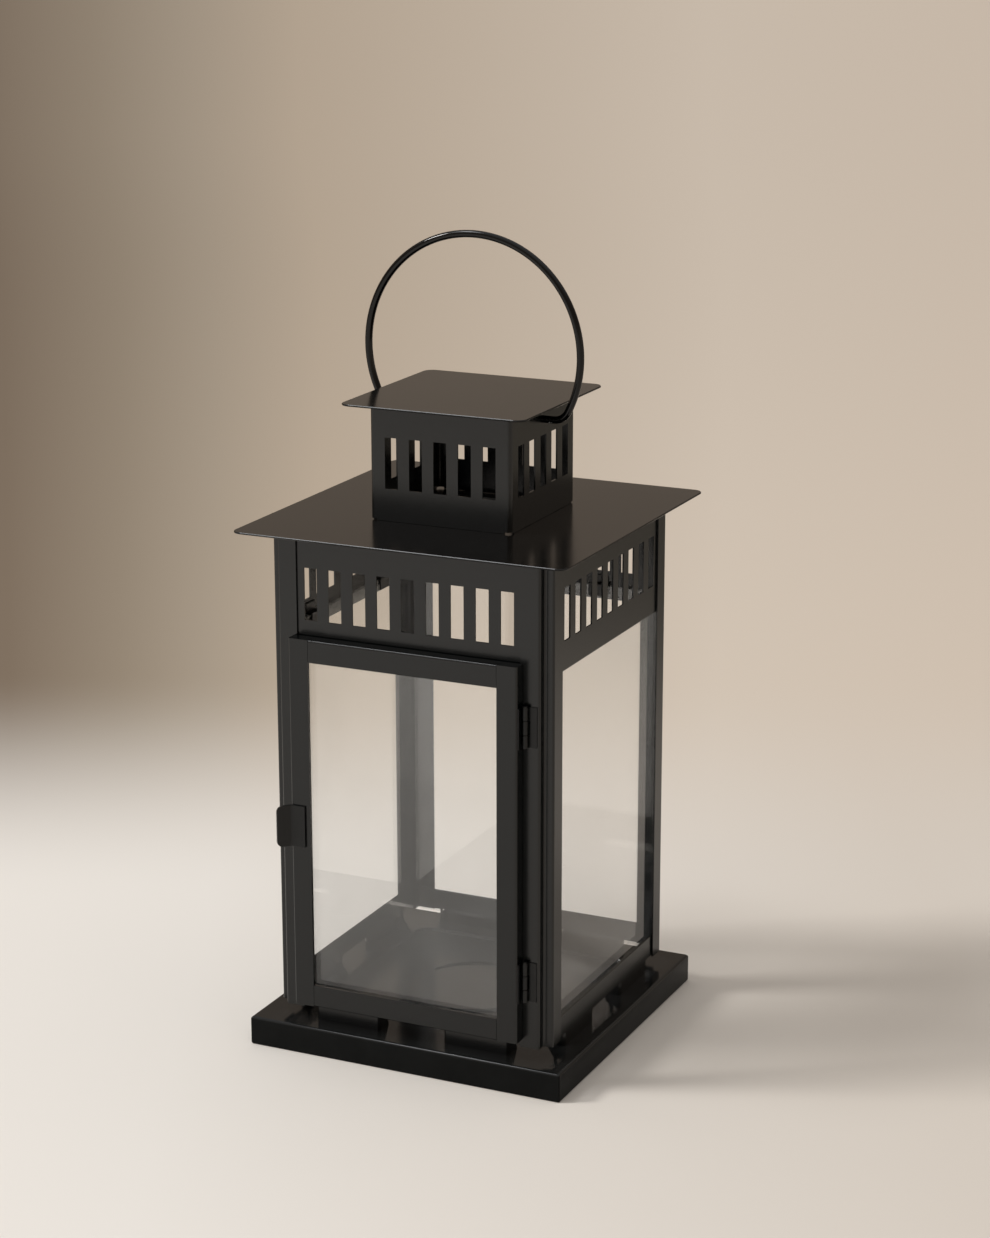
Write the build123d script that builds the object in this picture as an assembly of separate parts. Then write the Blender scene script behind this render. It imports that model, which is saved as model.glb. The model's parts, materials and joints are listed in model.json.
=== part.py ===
from build123d import *
import os
from math import hypot

# A square sheet-steel candle lantern: an inverted base tray, a glazed body of four folded corner
# posts, a hinged glass door at the front, a flat roof, a vented turret with its own small roof,
# and a wire bail that swings in the turret's side walls.
# Millimetres, +Z up, origin at the centre of the base on the surface that it stands on.
# The door faces -Y, its hinges are on the +X side and its pull on the -X side.

# Sheet, glass and fits
sheet = 0.7                    # body, door and turret sheet
plate = 0.8                    # base tray and both roofs
glass = 2.0                    # pane thickness
bend = 1.1                     # outer radius of a folded corner
lap_gap = 0.1                  # between sheets that lap, or glass and its seat
seam_gap = 0.15                # open seam where two folded edges meet
panel_gap = 0.3                # from a panel's ends to the posts' folded corners
door_gap = 0.3                 # between the door and the body
pivot_gap = 0.05               # radial clearance of a pin or wire in its hole
overrun = 3.0                  # how far a cut runs past what it cuts

# Base tray
base_ledge = 8.95              # top of the tray outside the body
base_height = 12.7
base_edge = 1.3                # outer radius along the top edge
base_lip = 5.0                 # flange folded in under the skirt
recess_inset = 10.3            # from the body's faces in to the sunk panel
recess_depth = 1.2
recess_corner = 9.0
ring_radius = 27.5             # embossed candle ring, at its crest
ring_width = 3.2
ring_height = 1.1

# Lantern body
body_width = 128.6             # over the flanges of the posts
notch = 4.3                    # stepped-in corner of each post
flange_width = 8.7             # post flange seen beside the door and the panes
post_drop = 0.7                # how far the posts reach below the rails
hem = 3.6                      # depth of a folded hem
foot_height = 6.0              # from the tray up to the rails
rail_height = 9.6
window_height = 150.7          # from the rails up to the bands
foot_width = 30.6
foot_centre = 30.4             # distance of a foot's middle from the middle of its side
foot_return = 9.0              # how far a foot's ends are bent in
foot_prong = 3.4               # upstand of a foot's end behind the pane
prong_width = 1.4
tab_width = 6.0                # lock tab under each foot
tab_fold = 4.5                 # length folded over under the tray
tab_play = 0.3                 # slot clearance on each side of a tab

# Slotted bands under the roof
band_height = 49.7
slot_width = 6.0
slot_pitch = 11.25
band_slots = 9
band_slot_rise = 12.8          # from the band's lower edge up to its slots
band_slot_height = 22.5
top_flange = 6.0               # flange folded in under a roof

# Side and back panes
pane_rise = 6.5                # how far a pane reaches up behind its band
clip_width = 8.0
clip_drop = 4.5
clip_spread = 32.0             # distance of a clip from the middle of its side

# Roof
roof_eaves = 11.45             # how far the roof stands out past the body
roof_corner = 4.5
roof_edge = 0.2                # broken edge along the top and the underside
flue_inset = 8.5               # from the turret's faces in to the opening under it
flue_corner = 6.0

# Turret and its roof
turret_width = 65.0
turret_height = 49.4
turret_corner = 1.9
turret_slots = 5
turret_slot_rise = 13.8        # from the turret's foot up to its slots
turret_slot_height = 21.9
turret_notch_width = 3.2       # relief at each foot corner of the turret
turret_notch_height = 0.6
turret_tab_spread = 16.0
turret_seam_inset = 5.0        # lap seam at the back, from the corner
cap_eaves = 9.6                # how far the small roof stands out past the turret

# Wire bail
wire = 3.2
wire_sides = 10                # flats round the loop's section, which keep the model light
pivot_drop = 7.9               # from the top of the small roof down to the pivots
bail_rise = 26.4               # from the pivots up to the loop's middle
bail_clearance = 1.8           # from the wire to the edge of the small roof
bail_bend = 7.0                # centre-line radius where the legs turn in
stop_height = 4.6              # flattened end of the wire inside the turret
stop_depth = 2.2
stop_width = 1.2
stop_gap = 0.5                 # side play between a stop and the turret wall

# Door
door_inset = 11.9              # from the body's sides to the door's
door_foot = 2.8                # from the underside of the rails up to the door
door_head = 6.2                # how far the door reaches up over the band
door_depth = 5.7
stile_width = 9.1
door_rail_width = 9.7
door_edge = 0.9                # outer radius along the door's edges
door_lip = 6.0                 # flange folded behind the glass
glass_inset = 0.8              # from the glass edge to the channel wall

# Hinges
hinge_height = 17.3
hinge_inset = 26.35            # from the door's ends to the middles of its hinges
hinge_sheet = 0.5
knuckle_radius = 1.35
pin_radius = 0.65
knuckle_gap = 0.3              # between neighbouring knuckles
post_leaf_width = 4.85
door_leaf_width = 3.7
pin_head_radius = 1.1
pin_head_height = 0.6

# Door pull and catch
pull_height = 18.2
pull_drop = 0.45               # from the door's mid height down to the pull's
pull_leaf = 6.8                # flat part on the stile
pull_lip_out = 4.5             # lip, sideways
pull_lip_forward = 5.2         # lip, towards the front
pull_sheet = 0.9
pull_corner = 2.6
pull_bend = 2.0
catch_sheet = 0.4
catch_height = 12.0
catch_reach = 4.2
catch_gap = 0.5                # from the catch to the edge of the post flange
catch_leg = 4.4
catch_bump = 1.0

# Widths and faces that follow from the sizes above
body_half = body_width / 2
base_width = body_width + 2 * base_ledge
recess_width = body_width - 2 * recess_inset
roof_width = body_width + 2 * roof_eaves
cap_width = turret_width + 2 * cap_eaves
flue_width = turret_width - 2 * flue_inset
panel_outer = body_half - sheet - lap_gap        # outer face of bands and lower rails
panel_inner = panel_outer - sheet
hem_inner = panel_inner - sheet
pane_outer = hem_inner - lap_gap
pane_inner = pane_outer - glass
corner_plane = body_half - notch                 # the stepped-in faces of a post
corner_inner = corner_plane - sheet
panel_half = corner_inner - panel_gap
pane_half = corner_inner - panel_gap
flange_edge = corner_plane - flange_width
turret_half = turret_width / 2

# Levels that follow from the sizes above
rail_bottom = base_height + foot_height
rail_top = rail_bottom + rail_height
post_bottom = rail_bottom - post_drop
band_bottom = rail_top + window_height
body_top = band_bottom + band_height
band_slot_low = band_bottom + band_slot_rise
band_slot_high = band_slot_low + band_slot_height
pane_bottom = rail_bottom + lap_gap
pane_top = band_bottom + pane_rise
roof_under = body_top + lap_gap
roof_top = roof_under + plate
turret_bottom = roof_top + lap_gap
turret_top = turret_bottom + turret_height
turret_slot_low = turret_bottom + turret_slot_rise
turret_slot_high = turret_slot_low + turret_slot_height
cap_top = turret_top + lap_gap + plate
pivot_height = cap_top - pivot_drop
bail_centre = pivot_height + bail_rise
bail_radius = hypot(cap_width / 2 + bail_clearance + wire / 2, bail_centre - cap_top)

# Places of the door, its hinges and its pull
door_back = -body_half - door_gap
door_front = door_back - door_depth
door_width = body_width - 2 * door_inset
door_half = door_width / 2
door_bottom = rail_bottom + door_foot
door_top = band_bottom + door_head
door_mid = (door_bottom + door_top) / 2
door_height = door_top - door_bottom
hinge_rise = door_height / 2 - hinge_inset
knuckle_offset = knuckle_radius + door_gap
hinge_x = door_half + knuckle_offset
hinge_y = -body_half - knuckle_offset
pull_mid = door_mid - pull_drop
side_angles = {"front": 0, "right": 90, "back": 180, "left": 270}
glazed_sides = ("right", "back", "left")


def block(x_low, x_high, y_low, y_high, z_low, z_high):
    """A box between two corners."""
    centre = Pos((x_low + x_high) / 2, (y_low + y_high) / 2, (z_low + z_high) / 2)
    return centre * Box(x_high - x_low, y_high - y_low, z_high - z_low)


def turned(shape, side):
    """The front's shape carried round to another side of the lantern."""
    return Rot(0, 0, side_angles[side]) * shape


def rounded_slab(width, corner, z_low, z_high):
    """A square slab about the Z axis with rounded vertical corners."""
    outline = RectangleRounded(width, width, corner)
    return extrude(Pos(0, 0, z_low) * outline, amount=z_high - z_low)


def folded_strip(points, thickness, radius, z_low, z_high, side=Side.RIGHT):
    """A sheet bent along a path in plan, its thickness laid to one side; radius 0 keeps its corners."""
    path = FilletPolyline(*points, radius=radius) if radius else Polyline(*points)
    outline = offset(path, amount=thickness, side=side)
    return extrude(Pos(0, 0, z_low) * make_face(outline), amount=z_high - z_low)


def hemmed_strip(half_length, z_open, z_hem):
    """A front panel whose edge at z_hem is folded back on itself, with a round fold."""
    up = 1 if z_hem > z_open else -1
    fold_start = z_hem - up * sheet
    hem_end = z_hem - up * hem
    outline = Polyline(
        (-hem_inner, fold_start),
        (-hem_inner, hem_end),
        (-panel_inner, hem_end),
        (-panel_inner, z_open),
        (-panel_outer, z_open),
        (-panel_outer, fold_start),
    )
    fold = ThreePointArc(
        (-panel_outer, fold_start),
        (-(panel_outer + hem_inner) / 2, z_hem),
        (-hem_inner, fold_start),
    )
    section = make_face(outline.edges() + fold.edges())
    return extrude(Plane.YZ * section, amount=half_length, both=True)


def slot_row(count, z_low, z_high, y_face):
    """Cutters for a row of upright slots in a wall at y_face."""
    cutter = Box(slot_width, 2 * overrun, z_high - z_low)
    middle = (z_low + z_high) / 2
    first = -(count - 1) / 2
    return [Pos((first + index) * slot_pitch, y_face, middle) * cutter for index in range(count)]


def candle_ring():
    """The raised ring on the sunk panel, and the groove that it leaves underneath."""
    floor = base_height - recess_depth

    def bead(level):
        section = Polyline(
            (ring_radius - ring_width / 2, level),
            (ring_radius, level + ring_height),
            (ring_radius + ring_width / 2, level),
            close=True,
        )
        return revolve(Plane.XZ * make_face(section), axis=Axis.Z)

    return bead(floor), bead(floor - plate)


def base_tray():
    """Inverted pressed tray: skirt with mitred corners, sunk panel, candle ring, tab slots."""
    half = base_width / 2
    inner_half = half - plate
    under = base_height - plate
    tray = block(-half, half, -half, half, 0, base_height)
    tray = fillet(tray.edges().group_by(Axis.Z)[-1], base_edge)
    hollow = block(-inner_half, inner_half, -inner_half, inner_half, plate, under)
    mouth_half = half - base_lip
    mouth = block(-mouth_half, mouth_half, -mouth_half, mouth_half, -overrun, 2 * plate)
    tray = tray - hollow - mouth

    panel_cut = rounded_slab(recess_width, recess_corner, base_height - recess_depth, base_height + overrun)
    panel_floor = rounded_slab(
        recess_width + 2 * plate, recess_corner + plate, under - recess_depth, under + plate / 2
    )
    bead, groove = candle_ring()
    tray = tray + panel_floor - panel_cut + bead - groove

    slit_top = base_height - base_edge - plate
    slit_reach = base_lip * 2
    slit = block(-seam_gap / 2, seam_gap / 2, -slit_reach, slit_reach, -overrun, slit_top)
    for angle in (45, 135, 225, 315):
        tray = tray - Rot(0, 0, angle) * Pos(0, -hypot(half, half), 0) * slit

    slot_half = tab_width / 2 + tab_play
    for side in side_angles:
        for centre in (-foot_centre, foot_centre):
            slot = block(
                centre - slot_half, centre + slot_half,
                -panel_outer - tab_play, -panel_inner + tab_play,
                under - overrun, base_height + overrun,
            )
            tray = tray - turned(slot, side)
    return tray


def corner_post():
    """Front right post: two flanges joined by a stepped-in corner, one folded sheet."""
    path = [
        (body_half, -flange_edge),
        (body_half, -corner_plane),
        (corner_plane, -corner_plane),
        (corner_plane, -body_half),
        (flange_edge, -body_half),
    ]
    return folded_strip(path, sheet, bend, post_bottom, body_top)


def rail_foot(glazed):
    """One foot: a U in plan, with one flat for each bend, and ends that taper and carry the pane."""
    half = foot_width / 2
    depth = -panel_outer + foot_return
    bend_start = -panel_outer + bend
    path = [
        (half, depth),
        (half, bend_start),
        (half - bend, -panel_outer),
        (bend - half, -panel_outer),
        (-half, bend_start),
        (-half, depth),
    ]
    top = rail_bottom + (foot_prong if glazed else 0)
    foot = folded_strip(path, sheet, 0, base_height, top)

    seat_end = -pane_inner + lap_gap
    prong_end = seat_end + prong_width
    wide = half + overrun
    if glazed:
        foot = foot - block(-wide, wide, -panel_outer - overrun, seat_end, rail_bottom, top + overrun)
    taper = Polyline(
        (prong_end, top + overrun),
        (prong_end, rail_bottom),
        (depth - sheet, base_height + sheet),
        (depth - sheet, base_height),
        (depth + overrun, base_height),
        (depth + overrun, top + overrun),
        close=True,
    )
    foot = foot - extrude(Plane.YZ * make_face(taper), amount=wide, both=True)

    tab_half = tab_width / 2
    tab_low = base_height - plate - lap_gap - sheet
    foot = foot + block(-tab_half, tab_half, -panel_outer, -panel_inner, tab_low, base_height)
    folded_end = -panel_inner + tab_fold
    return foot + block(-tab_half, tab_half, -panel_outer, folded_end, tab_low, tab_low + sheet)


def lower_rail(side):
    """Rail across the foot of one side, standing on the tray on two feet."""
    rail = hemmed_strip(panel_half, rail_bottom, rail_top)
    foot = rail_foot(side in glazed_sides)
    for centre in (-foot_centre, foot_centre):
        rail = rail + Pos(centre, 0, 0) * foot
    return turned(rail, side)


def slotted_band(side):
    """Slotted panel under the roof, hemmed below and flanged inwards above."""
    band = hemmed_strip(panel_half, body_top, band_bottom)
    flange_half = panel_half - top_flange
    flange = extrude(
        Pos(0, 0, body_top - sheet) * make_face(Polyline(
            (-panel_half, -panel_outer),
            (panel_half, -panel_outer),
            (flange_half, -panel_outer + top_flange),
            (-flange_half, -panel_outer + top_flange),
            close=True,
        )),
        amount=sheet,
    )
    band = band + flange
    for cutter in slot_row(band_slots, band_slot_low, band_slot_high, -panel_outer):
        band = band - cutter
    return turned(band, side)


def side_pane(side):
    """Glass pane standing on the feet behind its rail and band."""
    pane = block(-pane_half, pane_half, -pane_outer, -pane_inner, pane_bottom, pane_top)
    return turned(pane, side)


def pane_clips():
    """Hooked clips welded inside the bands, two over the top edge of each pane."""
    half = clip_width / 2
    weld_top = pane_top + clip_drop
    hook_low = pane_top + lap_gap
    arm_outer = pane_inner - lap_gap
    arm_inner = arm_outer - sheet
    clip = block(-half, half, -panel_inner, -hem_inner, hook_low, weld_top)
    clip = clip + block(-half, half, -panel_inner, -arm_inner, hook_low, hook_low + sheet)
    clip = clip + block(-half, half, -arm_outer, -arm_inner, pane_top - clip_drop, hook_low + sheet)
    clips = []
    for side in glazed_sides:
        for centre in (-clip_spread, clip_spread):
            clips.append(turned(Pos(centre, 0, 0) * clip, side))
    return Compound(children=clips)


def flat_roof(width, top):
    """Flat roof sheet with rounded corners and broken edges."""
    roof = rounded_slab(width, roof_corner, top - plate, top)
    rims = roof.edges().group_by(Axis.Z)
    return chamfer(rims[-1] + rims[0], roof_edge)


def turret_tab_places():
    """The eight places round the turret's foot where a tab goes through the roof."""
    return [(side, centre) for side in side_angles for centre in (-turret_tab_spread, turret_tab_spread)]


def roof_plate():
    """Main roof with the flue opening and the slots for the turret's tabs."""
    roof = flat_roof(roof_width, roof_top)
    roof = roof - rounded_slab(flue_width, flue_corner, roof_under - overrun, roof_top + overrun)
    slot_half = tab_width / 2 + tab_play
    for side, centre in turret_tab_places():
        slot = block(
            centre - slot_half, centre + slot_half,
            -turret_half - tab_play, -turret_half + sheet + tab_play,
            roof_under - overrun, roof_top + overrun,
        )
        roof = roof - turned(slot, side)
    return roof


def turret_shell():
    """Slotted turret folded from one sheet, with tabs through the roof and bail holes."""
    inner_width = turret_width - 2 * sheet
    inner_corner = turret_corner - sheet
    shell = rounded_slab(turret_width, turret_corner, turret_bottom, turret_top)
    shell = shell - rounded_slab(inner_width, inner_corner, turret_bottom - overrun, turret_top - sheet)
    mouth_width = inner_width - 2 * top_flange
    shell = shell - rounded_slab(mouth_width, turret_corner, turret_top - 2 * sheet, turret_top + overrun)

    for side in side_angles:
        for cutter in slot_row(turret_slots, turret_slot_low, turret_slot_high, -turret_half):
            shell = shell - turned(cutter, side)

    notch_half = turret_notch_width / 2
    relief = block(-notch_half, notch_half, -overrun, overrun, 0, turret_notch_height)
    for x_side in (-turret_half, turret_half):
        for y_side in (-turret_half, turret_half):
            corner = Pos(x_side, y_side, turret_bottom)
            shell = shell - corner * relief - corner * Rot(0, 0, 90) * relief

    seam_x = -turret_half + turret_seam_inset
    shell = shell - block(
        seam_x, seam_x + seam_gap,
        turret_half - 2 * sheet, turret_half + overrun,
        turret_bottom - overrun, turret_top - sheet,
    )

    tab_half = tab_width / 2
    tab_low = roof_under - lap_gap - sheet
    tab = block(-tab_half, tab_half, -turret_half, -turret_half + sheet, tab_low, turret_bottom + sheet)
    tab = tab + block(-tab_half, tab_half, -turret_half, -turret_half + tab_fold, tab_low, tab_low + sheet)
    for side, centre in turret_tab_places():
        shell = shell + turned(Pos(centre, 0, 0) * tab, side)

    hole = Rot(0, 90, 0) * Cylinder(wire / 2 + pivot_gap, turret_width + 2 * overrun)
    return shell - Pos(0, 0, pivot_height) * hole


def bail():
    """Wire handle: one loop, its legs turned in through the turret's side walls to round pivots."""
    bend_height = pivot_height + bail_bend
    reach = bail_radius - bail_bend
    drop = bail_centre - bend_height
    bend_x = (reach ** 2 - drop ** 2) ** 0.5
    join_x = bend_x * bail_radius / reach
    join_z = bail_centre - drop * bail_radius / reach
    # The middle of the small bend lies half way in angle between straight down and the join.
    half_x = bend_x / reach
    half_z = -drop / reach - 1
    half_length = hypot(half_x, half_z)
    bend_mid_x = bend_x + bail_bend * half_x / half_length
    bend_mid_z = bend_height + bail_bend * half_z / half_length
    inner_face = turret_half - sheet
    end_x = inner_face - stop_gap - stop_width

    right_bend = ThreePointArc((bend_x, pivot_height), (bend_mid_x, bend_mid_z), (join_x, join_z))
    loop = ThreePointArc((join_x, join_z), (0, bail_centre + bail_radius), (-join_x, join_z))
    left_bend = ThreePointArc((-join_x, join_z), (-bend_mid_x, bend_mid_z), (-bend_x, pivot_height))
    path = Plane.XZ * Wire(right_bend.edges() + loop.edges() + left_bend.edges())
    section = RegularPolygon(wire / 2, wire_sides)
    handle = sweep(Plane(path @ 0, z_dir=path % 0) * section, path=path)

    pivot = Rot(0, 90, 0) * Cylinder(wire / 2, bend_x - end_x)
    stop = Box(stop_width, stop_depth, stop_height)
    for sign in (-1, 1):
        handle = handle + Pos(sign * (end_x + bend_x) / 2, 0, pivot_height) * pivot
        handle = handle + Pos(sign * (end_x + stop_width / 2), 0, pivot_height) * stop
    return handle


def door_member(long_half, width):
    """Channel of the door frame along X, its outer edge up and open below for the glass.

    The channel's outer wall is at z = 0; the face runs down to z = -width.
    """
    body = block(-long_half, long_half, door_front, door_back, -width, 0)
    front_edges = body.edges().group_by(Axis.Y)[0]
    body = fillet(front_edges.filter_by(Axis.X).sort_by(Axis.Z)[-1], door_edge)
    far = long_half + overrun
    hollow = block(-far, far, door_front + sheet, door_back - sheet, -width - overrun, -sheet)
    behind = block(-far, far, door_back - 2 * sheet, door_back + overrun, -width - overrun, -door_lip)
    hem_fold = block(-long_half, long_half, door_front + sheet / 2, door_front + 2 * sheet, -width, hem - width)
    return body - hollow - behind + hem_fold


def door_stile(sign):
    """Full-height stile with closed ends; sign is +1 on the hinge side, -1 on the pull side."""
    half = door_height / 2
    channel = door_member(half, stile_width)
    end = block(half - sheet, half, door_front + door_edge, door_back, -stile_width, -sheet / 2)
    end = end + block(half - sheet, half, door_front + sheet / 2, door_back, -stile_width, -door_edge)
    channel = channel + end + mirror(end, about=Plane.YZ)
    upright = Rot(0, 90, 0) * channel
    if sign < 0:
        upright = mirror(upright, about=Plane.YZ)
    return Pos(sign * door_half, 0, door_mid) * upright


def door_rail(sign):
    """Rail between the stiles; sign is +1 at the top, -1 at the bottom."""
    half = door_half - stile_width - seam_gap
    rail = door_member(half, door_rail_width)
    if sign < 0:
        rail = mirror(rail, about=Plane.XY)
    return Pos(0, 0, door_top if sign > 0 else door_bottom) * rail


def door_glass_front():
    """Front plane of the door glass, against the hems."""
    return door_front + 2 * sheet + lap_gap


def door_glass():
    """The door's pane, held in the channels."""
    half = door_half - sheet - glass_inset
    front = door_glass_front()
    return block(
        -half, half, front, front + glass, door_bottom + sheet + glass_inset, door_top - sheet - glass_inset
    )


def door_glass_clips():
    """Four small bent clips that press the glass forwards from the stiles' back flanges."""
    glass_back = door_glass_front() + glass + lap_gap
    lip_face = door_back - sheet - lap_gap
    inner = door_half - door_lip
    leg = block(inner, door_half - 2 * sheet, lip_face - catch_sheet, lip_face, 0, clip_width)
    arm = block(inner, inner + catch_sheet, glass_back, lip_face, 0, clip_width)
    clip = leg + arm
    clips = []
    for height in (door_mid - hinge_rise, door_mid + hinge_rise):
        place = Pos(0, 0, height - clip_width / 2) * clip
        clips.append(place)
        clips.append(mirror(place, about=Plane.YZ))
    return Compound(children=clips)


def hinge_middle(sign):
    """Height of a hinge's middle; sign is +1 for the upper hinge, -1 for the lower."""
    return door_mid + sign * hinge_rise


def knuckle(z_low, z_high):
    """One rolled knuckle about the hinge axis."""
    height = z_high - z_low
    tube = Cylinder(knuckle_radius, height) - Cylinder(pin_radius + pivot_gap, height + overrun)
    return Pos(hinge_x, hinge_y, (z_low + z_high) / 2) * tube


def knuckle_heights(sign):
    """The four levels of a hinge: its ends, and between them the ends of the middle knuckle."""
    middle = hinge_middle(sign)
    low = middle - hinge_height / 2
    high = middle + hinge_height / 2
    third = hinge_height / 3
    return low, low + third, high - third, high


def hinge_post_leaf(sign):
    """Leaf on the post's flange with the two outer knuckles."""
    low, lower, upper, high = knuckle_heights(sign)
    bottom_knuckle = knuckle(low, lower - knuckle_gap)
    top_knuckle = knuckle(upper + knuckle_gap, high)
    leaf = block(
        hinge_x, hinge_x + post_leaf_width, -body_half - hinge_sheet, -body_half, low, high
    )
    relief = block(
        hinge_x - overrun, hinge_x + knuckle_offset,
        -body_half - hinge_sheet - overrun, -body_half + overrun,
        lower - knuckle_gap, upper + knuckle_gap,
    )
    bore = Pos(hinge_x, hinge_y, (low + high) / 2) * Cylinder(pin_radius + pivot_gap, hinge_height)
    return leaf - relief + bottom_knuckle + top_knuckle - bore


def hinge_door_leaf(sign):
    """Leaf on the side of the door's stile with the middle knuckle."""
    low, lower, upper, high = knuckle_heights(sign)
    leaf = block(door_half, door_half + hinge_sheet, hinge_y - door_leaf_width, hinge_y, low, high)
    for z_low, z_high in ((low - overrun, lower), (upper, high + overrun)):
        leaf = leaf - block(
            door_half - overrun, door_half + overrun,
            hinge_y - knuckle_offset, hinge_y + overrun,
            z_low, z_high,
        )
    bore = Pos(hinge_x, hinge_y, (low + high) / 2) * Cylinder(pin_radius + pivot_gap, hinge_height)
    return leaf + knuckle(lower, upper) - bore


def hinge_pin(sign):
    """Pin with a flat head on the top knuckle."""
    heights = knuckle_heights(sign)
    low = heights[0]
    high = heights[-1]
    shank = Pos(hinge_x, hinge_y, (low + high) / 2) * Cylinder(pin_radius, high - low)
    head = Pos(hinge_x, hinge_y, high + pin_head_height / 2) * Cylinder(pin_head_radius, pin_head_height)
    return shank + head


def door_pull():
    """Finger pull: a flat leaf on the stile and a lip flared past the door's edge."""
    edge = -door_half
    face = door_front
    low = pull_mid - pull_height / 2
    high = pull_mid + pull_height / 2
    tip = (edge - pull_lip_out, face - pull_lip_forward)
    path = [(edge + pull_leaf, face), (edge, face), tip]
    pull = folded_strip(path, pull_sheet, pull_bend, low, high, Side.LEFT)
    tip_edges = pull.edges().filter_by(Plane.XY).sort_by(Axis.X)
    match_share = 0.1
    short = [edge for edge in tip_edges if abs(edge.length - pull_sheet) < match_share * pull_sheet]
    return fillet(short[:2], pull_corner)


def door_catch():
    """Spring strip behind the pull that presses on the edge of the post's flange."""
    side = -flange_edge + catch_gap
    bump_share = 0.6
    path = [
        (side + catch_leg, door_back),
        (side, door_back),
        (side, door_back + catch_reach * bump_share),
        (side + catch_bump, door_back + catch_reach),
    ]
    low = pull_mid - catch_height / 2
    return folded_strip(path, catch_sheet, catch_sheet, low, low + catch_height)


def all_parts():
    """Every node's name and shape."""
    parts = {"base_tray": base_tray()}
    post = corner_post()
    post_places = {"front_right": 0, "back_right": 90, "back_left": 180, "front_left": 270}
    for place, angle in post_places.items():
        parts["post_" + place] = Rot(0, 0, angle) * post
    for side in side_angles:
        parts["lower_rail_" + side] = lower_rail(side)
        parts["slotted_band_" + side] = slotted_band(side)
    for side in glazed_sides:
        parts["glass_pane_" + side] = side_pane(side)
    parts["pane_clips"] = pane_clips()
    parts["roof_plate"] = roof_plate()
    parts["turret_shell"] = turret_shell()
    parts["turret_roof"] = flat_roof(cap_width, cap_top)
    parts["bail_handle"] = bail()
    parts["door_stile_hinge"] = door_stile(1)
    parts["door_stile_pull"] = door_stile(-1)
    parts["door_rail_top"] = door_rail(1)
    parts["door_rail_bottom"] = door_rail(-1)
    parts["door_glass"] = door_glass()
    parts["door_glass_clips"] = door_glass_clips()
    for name, sign in (("upper", 1), ("lower", -1)):
        parts["hinge_" + name + "_post_leaf"] = hinge_post_leaf(sign)
        parts["hinge_" + name + "_door_leaf"] = hinge_door_leaf(sign)
        parts["hinge_" + name + "_pin"] = hinge_pin(sign)
    parts["door_pull"] = door_pull()
    parts["door_catch_spring"] = door_catch()
    return parts


os.makedirs("parts", exist_ok=True)
for node, shape in all_parts().items():
    export_step(shape, "parts/" + node + ".step")
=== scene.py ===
"""A black sheet-steel candle lantern in a plain studio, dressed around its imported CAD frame.

Units are metres in the frame's own axes: +Z up, the door on -Y, its hinges on +X.
"""
import json
import math

import bpy
import numpy as np
from mathutils import Matrix, Vector


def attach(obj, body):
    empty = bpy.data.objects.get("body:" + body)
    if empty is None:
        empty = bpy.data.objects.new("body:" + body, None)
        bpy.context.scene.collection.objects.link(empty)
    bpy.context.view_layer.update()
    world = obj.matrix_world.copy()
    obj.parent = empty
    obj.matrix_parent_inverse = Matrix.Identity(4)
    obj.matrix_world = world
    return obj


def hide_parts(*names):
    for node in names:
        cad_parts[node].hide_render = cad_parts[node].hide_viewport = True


mm = 0.001

# Camera, as fitted to the photograph
camera_azimuth = math.radians(25.0)
camera_elevation = math.radians(15.62)
camera_roll = math.radians(-0.08)
camera_side = 8.811 * mm
camera_rise = 174.904 * mm
camera_distance = 1334.63 * mm
frame_width_px = 990
focal_px = 2989.9
sensor_width = 36.0
near_clip = 50.0 * mm
far_clip = 30.0

# Sizes of the lantern that the smoother pieces follow
wire = 3.17 * mm
pivot_height = 272.1 * mm
loop_rise = 26.4 * mm          # from the pivots up to the loop's middle
loop_radius = 49.117 * mm
leg_bend = 7.0 * mm
stop_inner = 30.1 * mm         # inner end of the flattened stop, from the middle
stop_width = 1.2 * mm
stop_height = 4.6 * mm
stop_depth = 2.2 * mm
stop_flat = 0.6                # share of its width over which a stop is fully flat
stop_taper = 1.3               # share at which the wire is round again
stop_tip = 0.75                # size of the very end, as a share of the flat part's
tray_half = 73.25 * mm
tray_height = 12.7 * mm
tray_sheet = 0.8 * mm
tray_edge = 1.3 * mm
tray_lip = 5.0 * mm
recess_half = 54.0 * mm
recess_depth = 1.2 * mm
recess_corner = 9.0 * mm
recess_slope = 0.9 * mm        # width of the pressed wall round the sunk panel
ring_radius = 27.5 * mm
ring_width = 3.2 * mm
ring_height = 1.1 * mm

# Powder coats: colour, dust, roughness, index and sheen of each slot
coats = {
    "body_coat": ((0.0016, 0.0024, 0.0026), 0.002, 0.24, 1.49, 0.0),
    "door_coat": ((0.0014, 0.0022, 0.0024), 0.002, 0.23, 1.46, 0.0),
    "roof_coat": ((0.0020, 0.0020, 0.0019), 0.003, 0.18, 1.38, 0.0),
    "tray_coat": ((0.0080, 0.0086, 0.0086), 0.002, 0.14, 1.13, 0.42),
    "wire_coat": ((0.0014, 0.0014, 0.0014), 0.001, 0.09, 1.38, 0.0),
    "fitting_coat": ((0.0014, 0.0020, 0.0022), 0.002, 0.33, 1.40, 0.0),
    "spring_steel": ((0.0080, 0.0080, 0.0080), 0.002, 0.30, 1.45, 0.0),
}
dust_colour = (0.30, 0.27, 0.24)
mottle_grain = 55.0            # grains are in features per metre
fine_grain = 1500.0
peel_grain = 2600.0
wave_grain = 28.0
peel_depth = 0.006 * mm
wave_depth = 0.08 * mm
sheen_roughness = 0.08

# Glass
glass_tint = (0.998, 1.0, 1.0)
glass_film = 0.020
film_colour = (0.70, 0.77, 0.80)
glass_facing = 0.055           # share reflected where a pane is seen square on
smear_grain = 24.0

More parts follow.
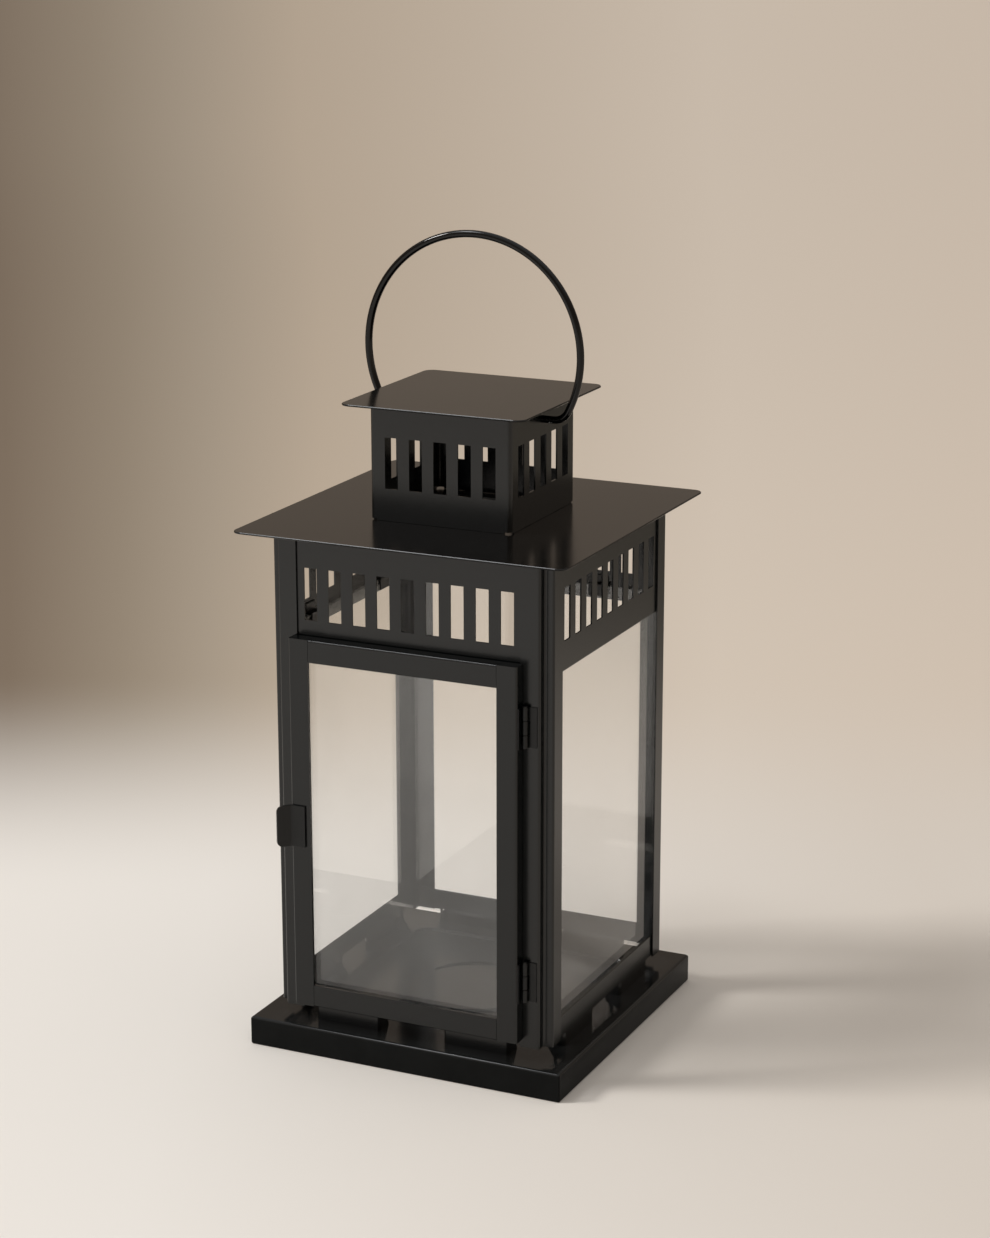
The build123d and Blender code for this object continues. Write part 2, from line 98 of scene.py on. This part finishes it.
# Floor, with its places to the camera's right of the lantern and away behind it; its colours hold painted
# shade, the light's falloff to the sides and far off
floor_radius = 14.0
floor_rings = 40
floor_sectors = 96
view_distance = 1.29           # from the camera to the lantern, along the floor
near_end = 0.14                # the near tones end here, and the far ones are full at far_start
far_start = 0.53
left_side = -0.13
right_side = 0.22
left_slope = -0.16             # side over distance from the camera, for the far tones
right_slope = 0.44
drift_start = 1.8
drift_end = 3.6
drift = 0.008
paper_grain = 900.0
paper_depth = 0.05 * mm
near_left = (0.795, 0.765, 0.720)
# Painted shade: the near floor darker to the right, away from the light
near_right_painted_shade = (0.665, 0.610, 0.545)
# Painted shade: the falloff of the light far off, darkest to the left, with a painted dark band off to the
# right
far_painted_shade_tones = [
    (0.0, (0.190, 0.143, 0.099)),
    (0.064, (0.280, 0.228, 0.168)),
    (0.113, (0.368, 0.308, 0.238)),
    (0.176, (0.490, 0.408, 0.317)),
    (0.40, (0.655, 0.575, 0.485)),
    (0.55, (0.650, 0.565, 0.475)),
    (0.69, (0.330, 0.296, 0.250)),
    (0.83, (0.205, 0.184, 0.150)),
    (1.0, (0.255, 0.225, 0.180)),
]

# Light: places are to the camera's right, away from it and above the floor
window_place = (-1.6, -0.08, 1.25)
window_spread = math.radians(12.0)
window_strength = 1.52
window_colour = (1.0, 0.975, 0.95)
lamp_colour = (0.97, 0.98, 1.0)
soft_lamps = {
    "floor_light": ((-0.80, -0.70, 0.45), (-0.80, -0.70, 0.0), 0.6, 1.1),
    "top_light": ((-0.72, -0.11, 1.45), (0.0, 0.0, 0.15), 0.32, 4.2),
}
horizon_tones = [
    (0.0, (0.22, 0.175, 0.13)),
    (0.45, (0.36, 0.295, 0.225)),
    (0.75, (0.52, 0.44, 0.35)),
    (1.0, (0.62, 0.54, 0.45)),
]
wall_tone = (0.31, 0.25, 0.20)
overhead_tone = (0.78, 0.78, 0.78)


class Socket:
    """One output of a shader node, so that sums on it are written as plain arithmetic."""

    def __init__(self, finish, output):
        self.finish = finish
        self.output = output

    def _math(self, operation, first, second):
        return self.finish.node("ShaderNodeMath", {"operation": operation}, {0: first, 1: second})[0]

    def __add__(self, other):
        return self._math("ADD", self, other)

    def __radd__(self, other):
        return self._math("ADD", other, self)

    def __sub__(self, other):
        return self._math("SUBTRACT", self, other)

    def __mul__(self, other):
        return self._math("MULTIPLY", self, other)

    def __rmul__(self, other):
        return self._math("MULTIPLY", other, self)

    def __pow__(self, other):
        return self._math("POWER", self, other)


class Finish:
    """A material under construction; node() adds any node and returns its outputs."""

    def __init__(self, name, kind=bpy.data.materials):
        self.material = kind.new(name)
        self.material.use_nodes = True
        self.tree = self.material.node_tree
        self.tree.nodes.clear()
        output = "ShaderNodeOutputWorld" if kind == bpy.data.worlds else "ShaderNodeOutputMaterial"
        self.surface = self.tree.nodes.new(output)

    def node(self, kind, settings=None, inputs=None):
        """Adds a node: its settings first, then a value or a link for each named input."""
        added = self.tree.nodes.new(kind)
        for key, value in (settings or {}).items():
            if key == "stops":
                while len(added.color_ramp.elements) < len(value):
                    added.color_ramp.elements.new(0.5)
                for element, (place, colour) in zip(added.color_ramp.elements, value):
                    element.position = place
                    element.color = (*colour, 1.0)
            else:
                setattr(added, key, value)
        for key, value in (inputs or {}).items():
            socket = added.inputs[key]
            if isinstance(value, Socket):
                self.tree.links.new(value.output, socket)
            elif isinstance(value, (tuple, list)) and len(value) == 3 and socket.type == "RGBA":
                socket.default_value = (*value, 1.0)
            else:
                socket.default_value = value
        return [Socket(self, output) for output in added.outputs]

    def place(self):
        """Object coordinates, which are the lantern's own metres."""
        return self.node("ShaderNodeTexCoord")[3]

    def noise(self, scale, detail=2.0, roughness=0.5, vector=None):
        """Noise value about 0.5, with its scale in features per metre."""
        return self.node(
            "ShaderNodeTexNoise", {}, {
                "Vector": vector or self.place(),
                "Scale": scale,
                "Detail": detail,
                "Roughness": roughness,
            },
        )[0]

    def level(self, value, low, high, out_low, out_high):
        """Carries a value from one range to another in a straight line, held at the ends."""
        return self.node("ShaderNodeMapRange", {}, {0: value, 1: low, 2: high, 3: out_low, 4: out_high})[0]

    def span(self, value, low, high, out_low, out_high):
        """Carries a value from one range to another, smoothly and held at the ends."""
        return self.node(
            "ShaderNodeMapRange", {"interpolation_type": "SMOOTHSTEP"},
            {0: value, 1: low, 2: high, 3: out_low, 4: out_high},
        )[0]

    def blend(self, factor, first, second):
        """A colour between two, by a factor from 0 to 1."""
        mixed = self.node(
            "ShaderNodeMix", {"data_type": "RGBA"},
            {0: factor, 6: first, 7: second},
        )
        return mixed[2]

    def bump(self, height, distance, strength=1.0, normal=None):
        """Normal from a height field."""
        inputs = {"Height": height, "Distance": distance, "Strength": strength}
        if normal:
            inputs["Normal"] = normal
        return self.node("ShaderNodeBump", {}, inputs)[0]

    def close(self, shader):
        """Joins the last shader to the output and returns the material."""
        self.tree.links.new(shader.output, self.surface.inputs["Surface"])
        return self.material


def powder_coat(name, colour, dusty, gloss, index, sheen):
    """Black powder coat: fine orange peel, faint mottling, a little settled dust on top faces.

    The sheen is a clear upper layer that shows on faces that look up, where the coat has flowed out.
    """
    finish = Finish(name)
    mottle = finish.noise(mottle_grain, 3.0, 0.55)
    fine = finish.noise(fine_grain, 2.0, 0.5)
    peel = finish.noise(peel_grain, 1.5, 0.5)
    wave = finish.noise(wave_grain, 1.0, 0.4)
    normal = finish.node("ShaderNodeNewGeometry")[1]
    up = finish.node("ShaderNodeSeparateXYZ", {}, {0: normal})[2]
    settled = finish.span(up, 0.7, 1.0, 0.0, 1.0) * finish.span(mottle, 0.35, 0.75, 0.3, 1.0)
    shade = finish.blend(
        finish.span(mottle, 0.3, 0.7, 0.0, 1.0),
        tuple(0.86 * c for c in colour),
        tuple(1.14 * c for c in colour),
    )
    coated = finish.blend(settled * dusty, shade, dust_colour)
    roughness = gloss + 0.05 * (mottle - 0.5) + 0.03 * (fine - 0.5) + settled * (dusty * 0.6)
    coarse = finish.bump(wave, wave_depth, 0.15)
    surface = finish.bump(peel, peel_depth, 0.25, coarse)
    inputs = {"Base Color": coated, "Roughness": roughness, "IOR": index, "Normal": surface}
    if sheen:
        inputs["Coat Weight"] = finish.span(up, 0.1, 0.6, 0.0, sheen)
        inputs["Coat Roughness"] = sheen_roughness
    return finish.close(finish.node("ShaderNodeBsdfPrincipled", {}, inputs)[0])


def clear_glass(name):
    """Thin clear glass: see-through, with gloss that grows towards its edges and a faint film of dust."""
    finish = Finish(name)
    smear = finish.noise(smear_grain, 4.0, 0.6)
    streaks = finish.span(smear, 0.45, 0.8, 0.0, 1.0)
    through = finish.node("ShaderNodeBsdfTransparent", {}, {"Color": glass_tint})[0]
    haze = finish.node(
        "ShaderNodeBsdfPrincipled", {}, {
            "Base Color": film_colour,
            "Roughness": 0.9,
        },
    )[0]
    gloss = finish.node(
        "ShaderNodeBsdfPrincipled", {}, {
            "Base Color": (1.0, 1.0, 1.0),
            "Metallic": 1.0,
            "Roughness": 0.02 + 0.05 * streaks,
        },
    )[0]
    facing = finish.node("ShaderNodeLayerWeight", {}, {"Blend": 0.5})[1]
    edge_on = glass_facing + (1.0 - glass_facing) * facing ** 5.0
    filmed = finish.node(
        "ShaderNodeMixShader", {}, {0: glass_film * (0.5 + streaks), 1: through, 2: haze},
    )[0]
    return finish.close(finish.node("ShaderNodeMixShader", {}, {0: edge_on, 1: filmed, 2: gloss})[0])


def painted_shade_floor():
    """Pale floor with painted shade: warm white near the lantern, painted darker to its right, beige
    further off and deeper to both sides as the light's falloff.

    The place is turned to the camera's heading first: side runs to its right, away runs ahead.
    """
    finish = Finish("studio_paper_painted_shade")
    turned = finish.node(
        "ShaderNodeVectorRotate", {"rotation_type": "Z_AXIS"},
        {"Vector": finish.place(), "Angle": -camera_azimuth},
    )[0]
    parts = finish.node("ShaderNodeSeparateXYZ", {}, {0: turned})
    side = parts[0]
    away = parts[1]
    slope = side * (away + view_distance) ** -1.0 + finish.span(away, drift_start, drift_end, 0.0, drift)
    # Painted shade far off: a ramp across the view, darker to both sides
    painted_far_shade = finish.node(
        "ShaderNodeValToRGB", {"stops": far_painted_shade_tones},
        {0: finish.level(slope, left_slope, right_slope, 0.0, 1.0)},
    )[0]
    # Painted light falloff near the lantern: lighter on the left, painted shade on the right
    near_painted_falloff = finish.blend(finish.level(side, left_side, right_side, 0.0, 1.0), near_left, near_right_painted_shade)
    far_share = finish.span(away, near_end, far_start, 0.0, 1.0)
    colour = finish.blend(far_share, near_painted_falloff, painted_far_shade)
    grain = finish.noise(paper_grain, 2.0, 0.5)
    return finish.close(finish.node(
        "ShaderNodeBsdfPrincipled", {}, {
            "Base Color": colour,
            "Roughness": 0.9,
            "Normal": finish.bump(grain, paper_depth, 0.3),
        },
    )[0])


def view_axes():
    """Unit vectors of the camera: its right, its up, and back from the lantern towards it."""
    back = Vector((
        math.sin(camera_azimuth) * math.cos(camera_elevation),
        -math.cos(camera_azimuth) * math.cos(camera_elevation),
        math.sin(camera_elevation),
    ))
    level = Vector((0.0, 0.0, 1.0)).cross(back).normalized()
    rise = back.cross(level)
    cosine = math.cos(camera_roll)
    sine = math.sin(camera_roll)
    return cosine * level + sine * rise, cosine * rise - sine * level, back


def add_camera():
    """Camera at the photograph's place, its lens from the fitted focal length."""
    right, up, back = view_axes()
    data = bpy.data.cameras.new("photo_camera")
    data.sensor_fit = "HORIZONTAL"
    data.sensor_width = sensor_width
    data.lens = focal_px / frame_width_px * sensor_width
    data.clip_start = near_clip
    data.clip_end = far_clip
    camera = bpy.data.objects.new("photo_camera", data)
    turn = Matrix((right, up, back)).transposed().to_4x4()
    place = camera_side * right + camera_rise * up + camera_distance * back
    camera.matrix_world = Matrix.Translation(place) @ turn
    bpy.context.scene.collection.objects.link(camera)
    bpy.context.scene.camera = camera


def grid_faces(rows, columns, round_way=False):
    """Quads of a grid, its points numbered row by row; round_way joins its last column to the first."""
    first = np.arange(columns if round_way else columns - 1)
    second = (first + 1) % columns
    row = np.arange(rows - 1)[:, None] * columns
    quads = [row + first, row + second, row + columns + second, row + columns + first]
    return np.stack(quads, axis=-1).reshape(-1, 4).tolist()


def mesh_object(name, points, faces):
    """A linked smooth object from an array of points and a list of faces."""
    mesh = bpy.data.meshes.new(name)
    mesh.from_pydata(points.reshape(-1, 3).tolist(), [], faces)
    mesh.update()
    mesh.polygons.foreach_set("use_smooth", np.ones(len(mesh.polygons), bool))
    piece = bpy.data.objects.new(name, mesh)
    bpy.context.scene.collection.objects.link(piece)
    return piece


def capped_tube(name, points):
    """A tube from rings of points, row by row, with a flat face over each end."""
    rows, columns = points.shape[:2]
    faces = grid_faces(rows, columns, round_way=True)
    faces.append(list(range(columns))[::-1])
    faces.append(list(range((rows - 1) * columns, rows * columns)))
    return mesh_object(name, points, faces)


def smooth_step(value, low, high):
    """Rises from 0 to 1 between two values as 3t^2 - 2t^3."""
    share = np.clip((value - low) / (high - low), 0.0, 1.0)
    return share * share * (3.0 - 2.0 * share)


def bail_wire():
    """Round wire along stub, bend, loop, bend and stub, with its ends pressed flat inside the turret.

    The bend's middle is at leg_bend inside the loop, so both arcs meet on the line through their middles.
    Each ring has the centre line's own normal and the Y axis as its axes. Its two half sizes are the
    wire's radius, and near the ends they pass by a smooth step into those of the flattened stop.
    """
    reach = loop_radius - leg_bend
    drop = loop_rise - leg_bend
    bend_x = math.sqrt(reach ** 2 - drop ** 2)
    join = -math.asin(drop / reach)
    stub = np.linspace(stop_inner, bend_x, 40)
    bend = np.linspace(-math.pi / 2, join, 16)[1:]
    loop = np.linspace(join, math.pi - join, 150)[1:-1]
    legs = [
        (stub, np.zeros_like(stub), np.full_like(stub, -math.pi / 2)),
        (bend_x + leg_bend * np.cos(bend), leg_bend + leg_bend * np.sin(bend), bend),
    ]
    right = np.concatenate([np.stack(leg, axis=1) for leg in legs])
    left = right[::-1] * np.array([-1.0, 1.0, 1.0])
    left[:, 2] = math.pi - left[:, 2]
    arch = np.stack([loop_radius * np.cos(loop), loop_rise + loop_radius * np.sin(loop), loop], axis=1)
    across, rise, heading = np.concatenate([right, arch, left]).T
    along_stub = np.where(rise < 0.5 * leg_bend, np.abs(across) - stop_inner, loop_radius)
    flat = 1.0 - smooth_step(along_stub, stop_flat * stop_width, stop_taper * stop_width)
    tip = stop_tip + (1.0 - stop_tip) * smooth_step(along_stub, 0.0, (1.0 - stop_tip) * stop_width)
    radius = wire / 2
    in_plane = (radius + flat * (stop_height / 2 - radius)) * tip
    out_of_plane = (radius + flat * (stop_depth / 2 - radius)) * tip
    turn = np.linspace(0.0, 2 * math.pi, 24, endpoint=False)[None, :]
    outwards = in_plane[:, None] * np.cos(turn)
    points = np.stack([
        across[:, None] + outwards * np.cos(heading)[:, None],
        out_of_plane[:, None] * np.sin(turn),
        pivot_height + rise[:, None] + outwards * np.sin(heading)[:, None],
    ], axis=-1)
    return capped_tube("bail_wire", points)


def square_rings(half, corner, height, steps=10):
    """Rounded squares, one for each half width, corner radius and height, all with as many points.

    A quarter turn of angle a gives the corner's arc: its middle plus corner * (cos a, sin a). The
    straight sides lie between neighbouring arcs. A corner as large as the half width gives a circle.
    """
    rings = []
    for quarter in range(4):
        angle = np.linspace(0.0, math.pi / 2, steps)[None, :] + quarter * math.pi / 2
        side_x = np.sign(math.cos((quarter + 0.5) * math.pi / 2))
        side_y = np.sign(math.sin((quarter + 0.5) * math.pi / 2))
        middle = (half - corner)[:, None]
        rings.append(np.stack([
            side_x * middle + corner[:, None] * np.cos(angle),
            side_y * middle + corner[:, None] * np.sin(angle),
            height[:, None] + 0.0 * angle,
        ], axis=-1))
    return np.concatenate(rings, axis=1)


def panel_level(half):
    """Height of the tray's top at a half width: ring as a squared cosine, then the pressed wall."""
    share = np.clip(np.abs(half - ring_radius) / (ring_width / 2), 0.0, 1.0)
    bead = ring_height * np.cos(share * math.pi / 2) ** 2
    wall = recess_depth * smooth_step(half, recess_half - recess_slope, recess_half)
    return tray_height - recess_depth + bead + wall


def plan_corner(half):
    """Corner radius at a half width: a circle out to the ring, the recess's corner, then a tight one."""
    inner = ring_radius + ring_width
    places = [0.0, inner, recess_half - 2 * recess_slope, recess_half, tray_half - tray_edge]
    return np.interp(half, places, [0.0, inner, recess_corner, recess_corner, tray_sheet])


def pressed_tray():
    """The tray as rings: out along its underside, round the lip, up the skirt, over the top, inwards."""
    inside_ring = ring_radius - ring_width / 2
    spans = [
        (0.02 * inside_ring, 0.92 * inside_ring, 12),
        (ring_radius - 0.56 * ring_width, ring_radius + 0.56 * ring_width, 29),
        (ring_radius + 0.8 * ring_width, recess_half - 1.3 * recess_slope, 14),
        (recess_half - 1.1 * recess_slope, recess_half + 0.1 * recess_slope, 15),
        (recess_half + 0.4 * recess_slope, tray_half - 1.1 * tray_edge, 10),
    ]
    panel = np.concatenate([np.linspace(*span) for span in spans])
    arc = np.linspace(0.0, math.pi / 2, 9)
    inner_half = tray_half - tray_sheet
    skirt_top = tray_height - tray_edge
    profile = [
        (panel, plan_corner(panel), panel_level(panel) - tray_sheet),
        (
            np.array([inner_half, inner_half, tray_half - tray_lip]),
            np.full(3, tray_sheet / 2),
            np.array([skirt_top, tray_sheet, tray_sheet]),
        ),
        (
            np.linspace(tray_half - tray_lip, inner_half, 3),
            np.full(3, tray_sheet / 2),
            np.zeros(3),
        ),
        (
            inner_half + tray_sheet * np.sin(arc),
            tray_sheet + 0.0 * arc,
            tray_sheet - tray_sheet * np.cos(arc),
        ),
        (np.full(5, tray_half), np.full(5, tray_sheet), np.linspace(1.1 * tray_sheet, skirt_top, 5)),
        (
            tray_half - tray_edge + tray_edge * np.cos(arc[1:]),
            tray_sheet + 0.0 * arc[1:],
            skirt_top + tray_edge * np.sin(arc[1:]),
        ),
        (panel[::-1], plan_corner(panel[::-1]), panel_level(panel[::-1])),
    ]
    half, corner, height = (np.concatenate(column) for column in zip(*profile))
    return capped_tube("pressed_tray", square_rings(half, np.minimum(corner, half), height))


def add_floor():
    """Flat disc: rings of points at radius times (share squared), so that they crowd near the middle."""
    share = np.linspace(0.0, 1.0, floor_rings)[:, None]
    angle = np.linspace(0.0, 2 * math.pi, floor_sectors + 1)[None, :]
    radius = floor_radius * share ** 2
    points = np.stack([radius * np.cos(angle), radius * np.sin(angle), 0.0 * radius * angle], axis=-1)
    floor = mesh_object("studio_floor", points, grid_faces(floor_rings, floor_sectors + 1))
    floor.data.materials.append(painted_shade_floor())


def studio_point(side, away, height):
    """A place in the studio, to the camera's right, away from it, and above the floor."""
    return (
        side * math.cos(camera_azimuth) - away * math.sin(camera_azimuth),
        side * math.sin(camera_azimuth) + away * math.cos(camera_azimuth),
        height,
    )


def aimed(place, aim):
    """Matrix of a lamp at a place, turned towards its aim."""
    direction = Vector(aim) - Vector(place)
    turn = direction.to_track_quat("-Z", "Y").to_matrix().to_4x4()
    return Matrix.Translation(Vector(place)) @ turn


def add_soft_lamp(name, place, aim, size, power):
    """Square soft lamp, from its place towards its aim."""
    data = bpy.data.lights.new(name, "AREA")
    data.shape = "SQUARE"
    data.size = size
    data.energy = power
    data.color = lamp_colour
    lamp = bpy.data.objects.new(name, data)
    lamp.matrix_world = aimed(studio_point(*place), studio_point(*aim))
    bpy.context.scene.collection.objects.link(lamp)


def add_window_light():
    """Wide even light, as from a large window, whose shadows are as soft as its spread."""
    data = bpy.data.lights.new("window_light", "SUN")
    data.angle = window_spread
    data.energy = window_strength
    data.color = window_colour
    lamp = bpy.data.objects.new("window_light", data)
    lamp.matrix_world = aimed(studio_point(*window_place), (0.0, 0.0, 0.0))
    bpy.context.scene.collection.objects.link(lamp)


def add_world():
    """Soft light from all round: beige low down, deeper to the camera's left, then brown, then pale."""
    world = Finish("studio_world", bpy.data.worlds)
    turned = world.node(
        "ShaderNodeVectorRotate", {"rotation_type": "Z_AXIS"},
        {"Vector": world.node("ShaderNodeTexCoord")[0], "Angle": -camera_azimuth},
    )[0]
    parts = world.node("ShaderNodeSeparateXYZ", {}, {0: turned})
    horizon = world.node(
        "ShaderNodeValToRGB", {"stops": horizon_tones},
        {0: world.level(parts[0], -1.0, 1.0, 0.0, 1.0)},
    )[0]
    walls = world.blend(world.span(parts[2], 0.04, 0.26, 0.0, 1.0), horizon, wall_tone)
    colour = world.blend(world.span(parts[2], 0.35, 0.95, 0.0, 1.0), walls, overhead_tone)
    world.close(world.node("ShaderNodeBackground", {}, {"Color": colour, "Strength": 1.0})[0])
    bpy.context.scene.world = world.material


def finishes():
    """Material for each slot of the record."""
    made = {slot: powder_coat(slot, *values) for slot, values in coats.items()}
    made["clear_glass"] = clear_glass("clear_glass")
    return made


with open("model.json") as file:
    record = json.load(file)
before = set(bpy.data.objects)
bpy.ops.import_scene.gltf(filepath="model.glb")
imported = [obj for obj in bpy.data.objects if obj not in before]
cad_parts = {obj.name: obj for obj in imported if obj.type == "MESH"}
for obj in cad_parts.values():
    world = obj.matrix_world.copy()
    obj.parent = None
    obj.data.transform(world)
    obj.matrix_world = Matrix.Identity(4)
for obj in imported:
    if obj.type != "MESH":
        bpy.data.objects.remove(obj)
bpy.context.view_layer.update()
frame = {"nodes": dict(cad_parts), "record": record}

add_camera()
add_floor()
add_world()
add_window_light()
for name, lamp in soft_lamps.items():
    add_soft_lamp(name, *lamp)

materials = finishes()
slots = {part["node"]: part["material_slot"] for part in frame["record"]["subparts"]}
for node, piece in frame["nodes"].items():
    piece.data.materials.clear()
    piece.data.materials.append(materials[slots[node]])
for piece, node, body in ((bail_wire(), "bail_handle", "bail"), (pressed_tray(), "base_tray", "body")):
    piece.data.materials.append(materials[slots[node]])
    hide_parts(node)
    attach(piece, body)

bpy.context.scene.view_settings.view_transform = "Standard"
